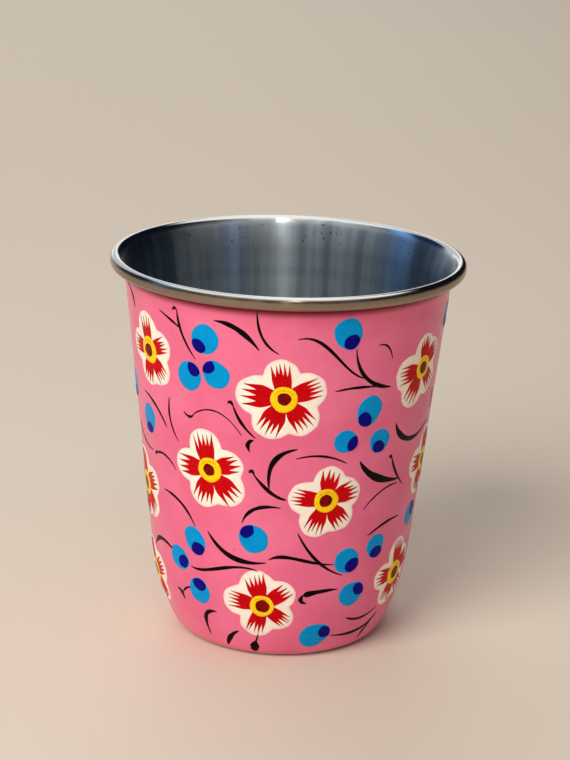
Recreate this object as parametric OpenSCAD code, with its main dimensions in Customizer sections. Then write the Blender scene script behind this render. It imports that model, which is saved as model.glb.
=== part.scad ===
// A steel drinking tumbler with a rolled rim, coated and painted by hand on the outside.
// Millimetres, +Z up. The origin is the middle of the base, on the surface that the cup stands on.
// Angles on the wall are in degrees: 0 faces -Y, and they grow towards +X.

/* [Cup] */
// Height from the standing ring to the top of the rim
cup_h = 93.5; // [80:0.5:120]
// Outside diameter that the steel wall would have at the top of the rim
mouth_d = 78.6; // [70:0.2:90]
// Outside diameter that the straight wall would have at the table
base_d = 58.4; // [52:0.2:66]
// Thickness of the steel sheet
sheet_t = 0.7; // [0.5:0.1:1]
// Height at which the straight wall starts to turn in
heel_h = 22; // [16:1:30]
// Radius of the long bend at the foot of the wall
heel_r = 62; // [45:1:90]
// Radius of the tight bend at the standing ring
corner_r = 5; // [4:0.5:7]

/* [Base] */
// Width of the flat ring that the cup stands on
foot_w = 3.6; // [2:0.1:6]
// Height above the table of the panel pressed up inside that ring
recess_h = 1.2; // [0.8:0.1:1.6]

/* [Rim] */
// How far the rolled rim stands out past the line of the wall
rim_overhang = 3.2; // [2.8:0.1:4]
// Width of the rolled rim
bead_w = 2.4; // [2.2:0.1:2.8]
// Height of the rolled rim, whose outer face is flat
bead_h = 3.1; // [2.8:0.1:4]
// Bend radius of the flare below the roll, to the middle of the sheet
flare_r = 18; // [10:1:24]
// Clearance between the rolled edge and the wall behind it
curl_gap = 0.4; // [0.2:0.05:0.8]

/* [Coats] */
// Thickness of the ground coat
coat_t = 0.2; // [0.1:0.05:0.3]
// Thickness of each layer of paint on it
paint_t = 0.1; // [0.05:0.01:0.15]
// How far below the rolled rim the coat stops
coat_gap = 0.3; // [0.2:0.05:1]
// How far short of the standing ring the coat stops, as an angle of the corner bend
coat_stop = 25; // [20:1:40]

/* [Blossoms] */
// Reach of a petal from the middle of its blossom
blossom_reach = 9.2; // [7.5:0.1:9.5]
// Diameter of the round end of a petal
petal_d = 7.8; // [6.6:0.1:8.6]
// Diameter of the yellow middle
ring_d = 6.4; // [5:0.1:7]
// Diameter of the dark eye on it
blossom_eye_d = 3.2; // [2:0.1:4.4]
// Cream left bare between the tips of a petal's red strokes and its end
petal_end = 1.2; // [0.8:0.1:1.8]
// Cream left bare beside the red strokes where they part
petal_side = 1.4; // [1:0.1:2]
// Length of the parted tips of the red strokes
tip_l = 2.4; // [1.5:0.1:3]

/* [Berries] */
// Length of a berry
berry_l = 7.2; // [6:0.1:7.8]
// Width of a berry
berry_w = 6.2; // [5:0.1:6.8]
// Diameter of a berry's dark eye
berry_eye_d = 3.2; // [2:0.1:3.6]
// Light blue left between that eye and the end of the berry
berry_end = 0.3; // [0.2:0.05:1]

/* [Stems] */
// Width of a stem of weight 1
stem_w = 1; // [0.6:0.05:1.2]
// Width of a stem's two tips
stem_tip = 0.2; // [0.1:0.05:0.3]

/* [Hidden] */
$fn = 120;

// Parts of a full bend that each become one straight step
arc_step = 5;
// Straight steps along one side of a stem
stem_steps = 9;
// Share of a stem's length over which its direction is taken
nearby = 0.01;
// Corners of a berry's outline
berry_corners = 24;
// Share by which a berry is slimmer at one end and broader at the other
berry_taper = 0.12;
// Petals of a blossom and red tips on each
petals = 5;
tips = 5;
// The pattern covers half of the wall and is painted twice
halves = [0, 180];
// Height of the cup on which the pattern's heights below were measured
pattern_h = 93.5;
// Slope, from level, between the standing ring and the pressed panel
recess_slope = 45;
// How far a painted shape is cut through the wall, inwards and outwards
cut_in = 12;
cut_out = 6;

// Slope of the wall, and its outward direction as [radius, height]
wall_a = atan((mouth_d - base_d) / 2 / cup_h);
wall_out = [cos(wall_a), -sin(wall_a)];
wall_foot = [base_d / 2, 0];

// Middles of the two bends at the foot, and the angle below level at which they meet
heel_top = [base_d / 2 + heel_h * tan(wall_a), heel_h];
heel_c = heel_top - heel_r * wall_out;
heel_a = asin((heel_c[1] - corner_r) / (heel_r - corner_r));
corner_c = [heel_c[0] + (heel_r - corner_r) * cos(heel_a), corner_r];
// Radius of the pressed panel, and of the standing ring's inner edge at the foot of the slope between them
ring_in_r = corner_c[0] - foot_w;
recess_r = ring_in_r - recess_h / tan(recess_slope);

// Middles of the rim's upper and lower bends, and of the flare that leads into them
roll_r = (bead_w - sheet_t) / 2;
roll_c = [mouth_d / 2 + rim_overhang - bead_w / 2, cup_h - bead_w / 2];
curl_c = roll_c - [0, bead_h - bead_w];
roll_off = (roll_c - wall_foot) * wall_out + sheet_t / 2;
flare_a = wall_a + acos((flare_r - roll_off) / (flare_r - roll_r));
flare_c = roll_c + (flare_r - roll_r) * [cos(flare_a), -sin(flare_a)];
// Radius of the steel's outer face in the flare, and the angle at which the coat stops on it
flare_face = flare_r - sheet_t / 2;
coat_top_a = asin((cup_h - bead_h - coat_gap - flare_c[1]) / flare_face);
// Angle at which the lower bend ends, to keep the rolled edge clear of the flare
curl_off = curl_c - flare_c;
curl_end = atan2(curl_off[1], curl_off[0]) - 360
    + acos(((flare_face - curl_gap) ^ 2 - curl_off * curl_off - (bead_w / 2) ^ 2)
        / (norm(curl_off) * bead_w));

// A blossom: [angle, height, direction of its first petal, size]
blossoms = [
    [-57.5, 74.5, 96, 0.97], [0, 68.7, 95, 1.12], [59, 72, 100, 1], [-29, 49, 100, 1.05],
    [17.5, 43, 95, 0.98], [76, 46, 92, 0.97], [-75, 38, 98, 1], [-7, 15.5, 106, 1],
    [61.5, 19, 97, 0.95], [-77, 15, 95, 0.92]
];

// A berry: [angle, height, direction of its eye, size]
berries = [
    [-29, 81, 234, 1.05], [-36, 71.5, 56, 1], [-25, 73, 141, 1], [-63, 56.5, 270, 1],
    [-80, 62.5, 270, 0.95], [21.5, 84, 294, 1.05], [32.5, 64.5, 230, 1.05], [24, 57.5, 337, 0.85],
    [39, 56.5, 268, 0.88], [80, 82, 250, 0.95], [-38, 29.5, 296, 1], [-48, 23.5, 320, 0.95],
    [-37.5, 16.5, 90, 0.95], [-11, 33, 130, 1.05], [44, 29, 275, 0.88], [29.5, 26.5, 322, 0.97],
    [34, 17.5, 35, 1], [18.5, 6.8, 22, 1], [70, 33, 45, 0.9]
];

// A stem: [points that it runs through as [angle, height], weight, where along it that weight is]
stems = [
    [[[-49, 85.5], [-43.5, 84], [-39, 82.5]], 0.5, 0.7],
    [[[-42, 86.5], [-41, 87.2], [-40, 86.6]], 0.7, 0.5],
    [[[-40, 87], [-38.5, 81.5], [-33, 75.8]], 0.6, 0.4],
    [[[-25, 86], [-16.5, 84.6], [-9, 80]], 1.3, 0.55],
    [[[-9.5, 88.5], [-8, 83], [-2.5, 79.6]], 0.6, 0.5],
    [[[-65.5, 63], [-57, 61], [-50, 56.5]], 0.8, 0.6],
    [[[-47, 64.5], [-47.5, 59], [-43.5, 54]], 0.6, 0.35],
    [[[-39.5, 62], [-33, 63.5], [-24, 64], [-16, 59.5]], 0.5, 0.3],
    [[[-20.5, 66.4], [-19.5, 66.8], [-18.4, 65.8]], 0.8, 0.5],
    [[[-18.6, 66.2], [-15.5, 62], [-10.2, 58.5]], 0.7, 0.4],
    [[[-10.8, 58], [-13, 57], [-12.3, 55]], 1, 0.5],
    [[[-78, 53], [-71, 49.6], [-62.5, 48.6]], 0.5, 0.5],
    [[[-60.3, 47.8], [-59.6, 48.5], [-58.5, 48.6]], 0.8, 0.5],
    [[[-59.5, 48.4], [-52.5, 49], [-46.2, 46.4]], 0.6, 0.25],
    [[[-55.5, 40.5], [-45, 39], [-38, 34.2]], 0.7, 0.4],
    [[[-70.5, 24], [-63, 26.8], [-54.5, 27.2]], 1.1, 0.25],
    [[[-31, 33], [-20.5, 27.6], [-5.5, 27]], 1.3, 0.5],
    [[[-41, 22.3], [-31.5, 23], [-21, 25.6], [-10.8, 25.8]], 0.85, 0.35],
    [[[-52, 13.8], [-48.5, 14.6], [-45, 16.4]], 1.2, 0.15],
    [[[-31.5, 12.3], [-37, 10.3], [-36.3, 5]], 1, 0.5],
    [[[-23, 6.2], [-27, 5], [-30, 3]], 1.1, 0.75],
    [[[-10.5, 5], [-11.5, 3.6], [-12, 2.2]], 1.6, 0.85],
    [[[-11.5, 50], [-4.6, 45.3], [2, 43.4]], 0.9, 0.55],
    [[[5.5, 56.2], [-3.2, 53], [-4.4, 46.8]], 1.2, 0.45],
    [[[-1, 41.3], [-10, 40.6], [-15, 37.6]], 0.8, 0.4],
    [[[-4.5, 27.8], [3, 28.6], [12, 27.4], [21.5, 26.3]], 0.9, 0.3],
    [[[7, 34.7], [15, 27.5], [25, 23]], 0.7, 0.4],
    [[[5, 53.8], [15, 54.3], [25, 52]], 0.6, 0.5],
    [[[30.7, 52], [38.5, 47.7], [50, 44.8]], 1.4, 0.55],
    [[[45.3, 51.2], [46.2, 51.5], [47.2, 50.6]], 0.8, 0.5],
    [[[47, 51], [50.5, 47], [56.5, 43]], 0.7, 0.3],
    [[[52.5, 43.8], [43, 43], [34.7, 39.3]], 0.5, 0.4],
    [[[57, 34.4], [47.5, 34.8], [38.7, 33]], 0.7, 0.6],
    [[[26, 19.8], [17, 19.4], [10.6, 18.4]], 1.3, 0.85],
    [[[10.6, 18.6], [9.8, 17], [12.4, 16.3]], 1, 0.3],
    [[[27.5, 5.7], [41, 5.4], [50, 6.6], [55.5, 9]], 0.9, 0.4],
    [[[34.5, 11], [41, 9.7], [48, 9.2]], 0.9, 0.5],
    [[[53.5, 8], [49.5, 5.3], [46.5, 2.8]], 0.8, 0.6],
    [[[4, 83], [13, 81.6], [21, 76.4], [29.5, 72.8]], 0.9, 0.45],
    [[[25.4, 79.2], [30, 73], [40.5, 69.7]], 1.2, 0.6],
    [[[18, 70.2], [26, 70.7], [34.5, 70.3]], 0.6, 0.6],
    [[[33.5, 80.4], [37.6, 79.8], [40.3, 76.6]], 0.5, 0.5],
    [[[46.7, 59.8], [51, 56], [60, 54.2], [73, 56.5]], 1.4, 0.35],
    [[[75, 64], [76, 61.5], [75.5, 59]], 0.6, 0.5],
    [[[-73, 88.5], [-69.5, 86.5], [-67.5, 83]], 1, 0.5]
];

// Points of an arc about c, from one angle to another
function arc(c, r, from, to) =
    let (steps = ceil(abs(to - from) / arc_step))
    [for (i = [0:steps]) let (a = from + (to - from) * i / steps) c + r * [cos(a), sin(a)]];

// The wall's face from the corner bend up, a distance off its steel outer face
function wall_line(off, from) = concat(
    arc(corner_c, corner_r + off, from, -heel_a),
    arc(heel_c, heel_r + off, -heel_a, -wall_a),
    arc(flare_c, flare_face - off, 180 - wall_a, 180 - coat_top_a));

// Radius of the painted wall at a height, for placing the pattern
function wall_r(z) = z > heel_h
    ? base_d / 2 + z * tan(wall_a) + coat_t
    : heel_c[0] + sqrt((heel_r + coat_t) ^ 2 - (heel_c[1] - z) ^ 2);

// Height on this cup of a height in the pattern
function up(z) = z * cup_h / pattern_h;

// Weight of point i of n + 1 at t steps along a curve through them all
function weight(i, n, t, j = 0) =
    j > n ? 1 : (j == i ? 1 : (t - j) / (i - j)) * weight(i, n, t, j + 1);

// Point at the share t of a curve that runs through the points p
function along(p, t, i = 0) =
    let (n = len(p) - 1)
    p[i] * weight(i, n, t * n) + (i < n ? along(p, t, i + 1) : [0, 0]);

// Width of a stem at the share t of its length
function stem_width(stem, t) =
    let (s = t < stem[2] ? t / stem[2] : (1 - t) / (1 - stem[2]))
    stem_tip + (stem_w * stem[1] - stem_tip) * sin(90 * s);

// Angle about which a stem is drawn flat, and its points there
function stem_mid(stem) = (stem[0][0][0] + stem[0][len(stem[0]) - 1][0]) / 2;
function stem_flat(stem) =
    [for (q = stem[0]) [wall_r(up(q[1])) * sin(q[0] - stem_mid(stem)), up(q[1])]];

// Outline of a stem: up its one side and back down its other
function stem_side(stem, side) =
    let (p = stem_flat(stem))
    [for (i = [0:stem_steps])
        let (t = i / stem_steps)
        let (d = along(p, t + nearby) - along(p, t - nearby))
        along(p, t) + side * stem_width(stem, t) / 2 * [-d[1], d[0]] / norm(d)];
function reverse(list) = [for (i = [len(list) - 1:-1:0]) list[i]];

// A drawn shape, standing at an angle on the wall and cut straight through it at the height z
module on_wall(angle, z) {
    r = wall_r(z);
    rotate([0, 0, angle]) translate([0, -(r - cut_in), 0]) rotate([90, 0, 0])
        linear_extrude(cut_in + cut_out) children();
}

// A film over the whole painted wall, between two distances off the steel
module film(inner, outer) {
    rotate_extrude() polygon(concat(
        wall_line(inner, coat_stop - 90),
        reverse(wall_line(outer, coat_stop - 90))));
}

// One layer of paint, counted from the coat, cut to the shapes given
module paint(layer) {
    intersection() {
        film(coat_t + (layer - 1) * paint_t, coat_t + layer * paint_t);
        union() children();
    }
}

// A drawn shape at the place, direction and size of each mark in a list
module each_mark(marks) {
    for (half = halves, m = marks)
        on_wall(m[0] + half, up(m[1])) translate([0, up(m[1])]) rotate(m[2]) scale(m[3]) children();
}

module each_stem() {
    for (half = halves, s = stems)
        on_wall(stem_mid(s) + half, up(s[0][1][1]))
            polygon(concat(stem_side(s, 1), reverse(stem_side(s, -1))));
}

// The five petals of a blossom, with its first petal along +X
module petal_shape() {
    circle(d = petal_d);
    for (k = [0:petals - 1])
        rotate(360 / petals * k) translate([blossom_reach - petal_d / 2, 0]) circle(d = petal_d);
}

// The red strokes of one petal: one root at the yellow middle, parting into tips
module stroke_shape() {
    root = ring_d / 2;
    root_w = ring_d * sin(180 / petals) / 2;
    tip = blossom_reach - petal_end;
    fork = tip - tip_l;
    fork_w = petal_d - 2 * petal_side;
    pitch = fork_w / tips;
    polygon(concat(
        [[root, -root_w / 2]],
        [for (i = [0:tips - 1]) each [
            [fork, i * pitch - fork_w / 2],
            [tip, (i + 0.5) * pitch - fork_w / 2]]],
        [[fork, fork_w / 2], [root, root_w / 2]]));
}

// A berry, a little slimmer at the end with its eye, which lies along +X
module berry_shape() {
    polygon([for (i = [0:berry_corners - 1])
        let (a = 360 / berry_corners * i)
        [berry_l / 2 * cos(a), berry_w / 2 * sin(a) * (1 - berry_taper * cos(a))]]);
}

// The drawn and rolled sheet, as one closed outline turned about the axis
module steel_cup() {
    step = sheet_t * tan(recess_slope / 2);
    color("silver") rotate_extrude() polygon(concat(
        [[0, recess_h], [recess_r, recess_h], [ring_in_r, 0]],
        arc(corner_c, corner_r, -90, -heel_a),
        arc(heel_c, heel_r, -heel_a, -wall_a),
        arc(flare_c, flare_face, 180 - wall_a, 180 - flare_a),
        arc(roll_c, roll_r - sheet_t / 2, 180 - flare_a, 0),
        arc(curl_c, roll_r - sheet_t / 2, 0, curl_end),
        arc(curl_c, roll_r + sheet_t / 2, curl_end, 0),
        arc(roll_c, roll_r + sheet_t / 2, 0, 180 - flare_a),
        arc(flare_c, flare_r + sheet_t / 2, 180 - flare_a, 180 - wall_a),
        arc(heel_c, heel_r - sheet_t, -wall_a, -heel_a),
        arc(corner_c, corner_r - sheet_t, -heel_a, -90),
        [[ring_in_r + step, sheet_t], [recess_r + step, recess_h + sheet_t], [0, recess_h + sheet_t]]));
}

module enamel_coat() {
    color("palevioletred") film(0, coat_t);
}

module base_enamel() {
    color("palevioletred") translate([0, 0, recess_h - coat_t]) cylinder(r = recess_r, h = coat_t);
}

module petal_paint() {
    color("oldlace") paint(1) each_mark(blossoms) petal_shape();
}

module petal_stroke_paint() {
    color("crimson") paint(2) each_mark(blossoms)
        for (k = [0:petals - 1]) rotate(360 / petals * k) stroke_shape();
}

module blossom_ring_paint() {
    color("gold") paint(2) each_mark(blossoms) circle(d = ring_d);
}

module blossom_eye_paint() {
    color("maroon") paint(3) each_mark(blossoms) circle(d = blossom_eye_d);
}

module berry_paint() {
    color("deepskyblue") paint(1) each_mark(berries) berry_shape();
}

module berry_eye_paint() {
    color("navy") paint(2) each_mark(berries)
        translate([(berry_l - berry_eye_d) / 2 - berry_end, 0]) circle(d = berry_eye_d);
}

// Stems stop at the petals and berries that they run up to
module stem_paint() {
    color("black") difference() {
        paint(1) each_stem();
        each_mark(blossoms) petal_shape();
        each_mark(berries) berry_shape();
    }
}

steel_cup();
enamel_coat();
base_enamel();
petal_paint();
petal_stroke_paint();
blossom_ring_paint();
blossom_eye_paint();
berry_paint();
berry_eye_paint();
stem_paint();
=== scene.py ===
"""A steel tumbler painted by hand: its sheet, its pink coat and every brush mark on it.

Meshes are in metres, +Z up, in the frame's axes. The sizes of the sheet and of the brushwork are
written in millimetres, and become metres where a mesh is made. Angles on the wall are in degrees:
0 faces -Y, and they grow towards +X.
"""
import cmath
import logging
import math
import random
from collections.abc import Callable, Sequence
from dataclasses import dataclass, field
from enum import Enum
from functools import cached_property

import bmesh
import bpy
import numpy as np
from mathutils import Matrix, Vector


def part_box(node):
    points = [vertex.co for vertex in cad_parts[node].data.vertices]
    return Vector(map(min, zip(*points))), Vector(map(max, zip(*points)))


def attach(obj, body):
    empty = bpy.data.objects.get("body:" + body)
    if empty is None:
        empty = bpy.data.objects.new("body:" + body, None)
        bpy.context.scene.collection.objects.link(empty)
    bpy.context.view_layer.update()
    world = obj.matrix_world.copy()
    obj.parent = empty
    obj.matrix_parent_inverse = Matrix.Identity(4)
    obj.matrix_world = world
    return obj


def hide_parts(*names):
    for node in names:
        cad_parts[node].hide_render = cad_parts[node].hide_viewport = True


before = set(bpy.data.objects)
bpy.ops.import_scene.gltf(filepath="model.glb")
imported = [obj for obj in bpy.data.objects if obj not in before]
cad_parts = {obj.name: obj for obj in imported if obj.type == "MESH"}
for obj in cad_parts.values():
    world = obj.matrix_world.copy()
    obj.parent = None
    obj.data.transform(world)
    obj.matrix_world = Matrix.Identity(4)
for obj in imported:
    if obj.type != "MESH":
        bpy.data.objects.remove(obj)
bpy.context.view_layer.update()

log = logging.getLogger("tumbler")

MM = 0.001
TURN = math.tau
BODY = "root"

# Points closer than this become one, in metres, and edges flatter than this are smooth.
MERGE = 1e-6
SMOOTH_BELOW = math.radians(40)
# Steps of an outline round its tight bends and its long ones.
BEND_STEP = math.radians(6)
LONG_STEP = math.radians(1)
# A brush mark: how steeply its face rises at the edge, its back's share of the face's height, and how
# deep in mm it sits in what is under it.
EDGE_RISE = 4
BACK = 0.2
SINK = 0.012

Colour = tuple[float, float, float, float]
Pair = tuple[float, float]
Triple = tuple[float, float, float]


def colour(red: int, green: int, blue: int) -> Colour:
    """Gives a colour, written as it looks on a screen from 0 to 255, in linear light."""
    def linear(level: int) -> float:
        """Undoes the screen's curve for one channel."""
        share = level / 255
        return share / 12.92 if share <= 0.04045 else ((share + 0.055) / 1.055) ** 2.4
    return linear(red), linear(green), linear(blue), 1.0


# Where the pattern is: read off the cup, as degrees round the wall and millimetres above the
# table. It covers half of the wall and is painted twice.

HALVES = (0.0, 180.0)


@dataclass(frozen=True)
class Blossom:
    """A blossom: the place of its middle, and each petal's bearing in degrees and reach in mm."""
    angle: float
    height: float
    petals: tuple[Pair, ...]


@dataclass(frozen=True)
class Berry:
    """A berry: the place of its middle, its length and width in mm, and the place of its eye."""
    angle: float
    height: float
    length: float
    width: float
    eye: Pair


@dataclass(frozen=True)
class Stem:
    """A stem: places that it runs through, its full width in mm, and where along it that is."""
    through: tuple[Pair, ...]
    width: float
    peak: float


BLOSSOMS = (
    Blossom(-57.5, 74.5, ((97, 9.2), (178, 8.7), (260, 8.9), (312, 9.2), (22, 8.6))),
    Blossom(0, 68.7, ((98, 9.6), (175, 11.2), (244, 10.8), (308, 10.4), (20, 9.9))),
    Blossom(59, 72, ((90, 8.3), (185, 10), (240, 10.2), (316, 9), (35, 8.6))),
    Blossom(-29, 49, ((101, 10.1), (180, 9.7), (254, 10), (315, 10.4), (21, 8.9))),
    Blossom(17.5, 43, ((83, 8.7), (170, 8.9), (250, 9.5), (306, 9.2), (18, 8.9))),
    Blossom(76, 46, ((92, 8.8), (176, 8.8), (250, 8.9), (310, 8.8), (20, 8.8))),
    Blossom(-75, 38, ((96, 9.2), (172, 9), (256, 9), (312, 9.2), (20, 9))),
    Blossom(-7, 15.5, ((104, 9.5), (171, 9.6), (254, 9.1), (322, 8.3), (38, 8.9))),
    Blossom(61.5, 19, ((85, 9.1), (178, 8.2), (257, 8.7), (312, 8.5), (25, 8.6))),
    Blossom(-77, 15, ((98, 8.6), (170, 8.4), (250, 8.4), (315, 8.5), (24, 8.6))),
)

BERRIES = (
    Berry(-29, 81, 7.6, 7, (-31.5, 79.2)),
    Berry(-36, 71.5, 7.2, 6.8, (-34, 73.5)),
    Berry(-25, 73, 7.2, 6.5, (-27.8, 74.5)),
    Berry(-63, 56.5, 7.5, 5.8, (-63.3, 54)),
    Berry(-80, 62.5, 7, 6, (-80, 60)),
    Berry(21.5, 84, 7.8, 6.9, (22.8, 82.1)),
    Berry(32.5, 64.4, 7.8, 6.6, (31, 62.4)),
    Berry(24, 57.5, 6.2, 5.6, (27.2, 56.8)),
    Berry(39, 56.3, 5.9, 6.1, (38.7, 55)),
    Berry(80, 82, 6.8, 6, (78.5, 80)),
    Berry(-38, 29.5, 7.5, 6, (-36.3, 27.6)),
    Berry(-48, 23.5, 6.9, 5.8, (-45.5, 23)),
    Berry(-37.5, 16.5, 6.8, 6.3, (-37.1, 18.3)),
    Berry(-11, 33, 7.6, 6.8, (-13.6, 34.9)),
    Berry(44, 28.7, 6.2, 5.7, (44.5, 26.9)),
    Berry(29.5, 26.5, 7, 6.3, (32, 25.3)),
    Berry(33.8, 17.4, 6.9, 6.5, (37, 18.4)),
    Berry(18.5, 6.8, 7.8, 6.8, (23, 7.6)),
    Berry(70, 33, 6.5, 5.8, (72, 34)),
)

STEMS = (
    Stem(((-49, 85.5), (-43.5, 84), (-39, 82.5)), 0.6, 0.6),
    Stem(((-42, 86.5), (-41, 87.2), (-40, 86.6)), 0.7, 0.5),
    Stem(((-40, 87), (-38.5, 81.5), (-33, 75.8)), 0.7, 0.4),
    Stem(((-25, 86), (-16.5, 84.6), (-9, 80)), 1.3, 0.55),
    Stem(((-9.7, 89.5), (-8, 83.2), (-2.2, 79.4)), 0.6, 0.5),
    Stem(((-65.5, 63), (-57, 61), (-50, 56.5)), 0.8, 0.6),
    Stem(((-47, 64.5), (-47.5, 59), (-43.5, 54)), 0.6, 0.35),
    Stem(((-39.8, 62.2), (-37.4, 61.2), (-35.2, 61.8)), 0.6, 0.6),
    Stem(((-35.6, 61.8), (-30, 63.8), (-23, 63.4), (-15.4, 58.8)), 0.3, 0.3),
    Stem(((-20.5, 66.4), (-19.5, 66.8), (-18.4, 65.8)), 0.8, 0.5),
    Stem(((-18.6, 66.2), (-15.5, 62), (-10.2, 58.5)), 0.7, 0.4),
    Stem(((-10.8, 58), (-13, 57), (-12.3, 55)), 1, 0.5),
    Stem(((-78, 53), (-71, 49.6), (-62.5, 48.6)), 0.5, 0.5),
    Stem(((-60.3, 47.8), (-59.6, 48.5), (-58.5, 48.6)), 0.8, 0.5),
    Stem(((-59.5, 48.4), (-52.5, 49), (-46.2, 46.4)), 0.6, 0.25),
    Stem(((-55.2, 39.9), (-44.6, 38.2), (-37.4, 33.3)), 0.8, 0.4),
    Stem(((-70.5, 22.7), (-62, 25.8), (-49.2, 23.9)), 1.1, 0.3),
    Stem(((-31, 33), (-20.5, 27.6), (-5.5, 27)), 1.3, 0.5),
    Stem(((-41, 22.4), (-31.5, 22.9), (-20.5, 24.8), (-8.8, 24.6)), 0.85, 0.4),
    Stem(((-40.8, 16.3), (-45, 16), (-49.4, 13.8)), 0.5, 0.6),
    Stem(((-52.4, 14.6), (-50, 14.1), (-48.4, 12.2)), 1.1, 0.55),
    Stem(((-29.2, 11.7), (-35.8, 9.9), (-35.6, 4.4)), 1.1, 0.45),
    Stem(((-18.8, 7.3), (-23.4, 5.4), (-26.4, 2.4)), 1.2, 0.75),
    Stem(((-9, 7.6), (-9.9, 5.8), (-10.9, 4.2)), 0.3, 0.5),
    Stem(((-10.6, 5), (-11.4, 3.2), (-11.7, 1.4)), 2.2, 0.55),
    Stem(((-12.6, 49.7), (-11.7, 50.2), (-10.6, 49.5)), 0.9, 0.5),
    Stem(((-11.5, 50), (-4.6, 45.3), (2, 43.4)), 0.9, 0.55),
    Stem(((5.5, 56.2), (-3.2, 53), (-4.8, 46)), 1.2, 0.45),
    Stem(((-0.3, 41.3), (-10.2, 40.7), (-15.6, 36.8)), 0.9, 0.45),
    Stem(((-4.5, 27.8), (3, 28.6), (12.5, 27.3), (23.4, 26.1)), 0.9, 0.3),
    Stem(((7, 34.9), (15.8, 27.4), (27.8, 22.9)), 0.7, 0.4),
    Stem(((5, 53.8), (15, 54.3), (25, 52)), 0.5, 0.5),
    Stem(((30.7, 52), (39.2, 47.1), (53.2, 44.9)), 1.8, 0.5),
    Stem(((45.3, 51.2), (46.2, 51.5), (47.2, 50.6)), 0.8, 0.5),
    Stem(((47, 51), (50.5, 47), (56.5, 43)), 0.7, 0.3),
    Stem(((52.5, 43.8), (43, 43), (34.7, 39.3)), 0.4, 0.4),
    Stem(((57.6, 34.5), (48, 34.1), (38.5, 32)), 0.7, 0.5),
    Stem(((26.2, 19.4), (17, 19.2), (10.6, 18.4)), 1.4, 0.85),
    Stem(((10.6, 18.6), (9.8, 17), (12.4, 16.3)), 1, 0.3),
    Stem(((27, 6), (41, 5.5), (50, 6.7), (55.5, 9)), 0.9, 0.4),
    Stem(((33.4, 10.6), (43, 9.4), (53, 11)), 0.7, 0.35),
    Stem(((53.5, 8), (49.5, 5.3), (46.5, 2.8)), 0.8, 0.6),
    Stem(((4, 83), (13, 81.6), (21, 76.4), (29.5, 72.8)), 0.7, 0.4),
    Stem(((24.8, 80.2), (29.6, 72.9), (41.2, 69.6)), 1, 0.72),
    Stem(((18, 70.2), (26, 70.7), (34.5, 70.3)), 0.6, 0.6),
    Stem(((33.5, 80.4), (37.6, 79.8), (40.3, 76.6)), 0.4, 0.5),
    Stem(((46.7, 59.8), (51, 56), (60, 54.2), (73, 56.5)), 1.4, 0.35),
    Stem(((75, 64), (76, 61.5), (75.5, 59)), 0.6, 0.5),
    Stem(((-73, 88.5), (-69.5, 86.5), (-67.5, 83)), 1, 0.5),
)


# Finishes


class Tone:
    """A value on its way through a finish: one socket, with arithmetic."""

    def __init__(self, graph: "Graph", socket: bpy.types.NodeSocket) -> None:
        """Wraps one output socket of a graph."""
        self.graph = graph
        self.socket = socket

    def _math(self, operation: str, first: "Tone | float", second: "Tone | float") -> "Tone":
        """Adds one Math node for two values."""
        return self.graph.node("ShaderNodeMath", {"operation": operation}, {0: first, 1: second})

    def __add__(self, other: "Tone | float") -> "Tone":
        """Adds two values."""
        return self._math("ADD", self, other)

    def __sub__(self, other: "Tone | float") -> "Tone":
        """Takes a value away."""
        return self._math("SUBTRACT", self, other)

    def __rsub__(self, other: float) -> "Tone":
        """Takes this value away from a number."""
        return self._math("SUBTRACT", other, self)

    def __mul__(self, other: "Tone | float") -> "Tone":
        """Multiplies two values."""
        return self._math("MULTIPLY", self, other)

    def __truediv__(self, other: "Tone | float") -> "Tone":
        """Divides by a value."""
        return self._math("DIVIDE", self, other)

    __radd__ = __add__
    __rmul__ = __mul__


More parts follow.
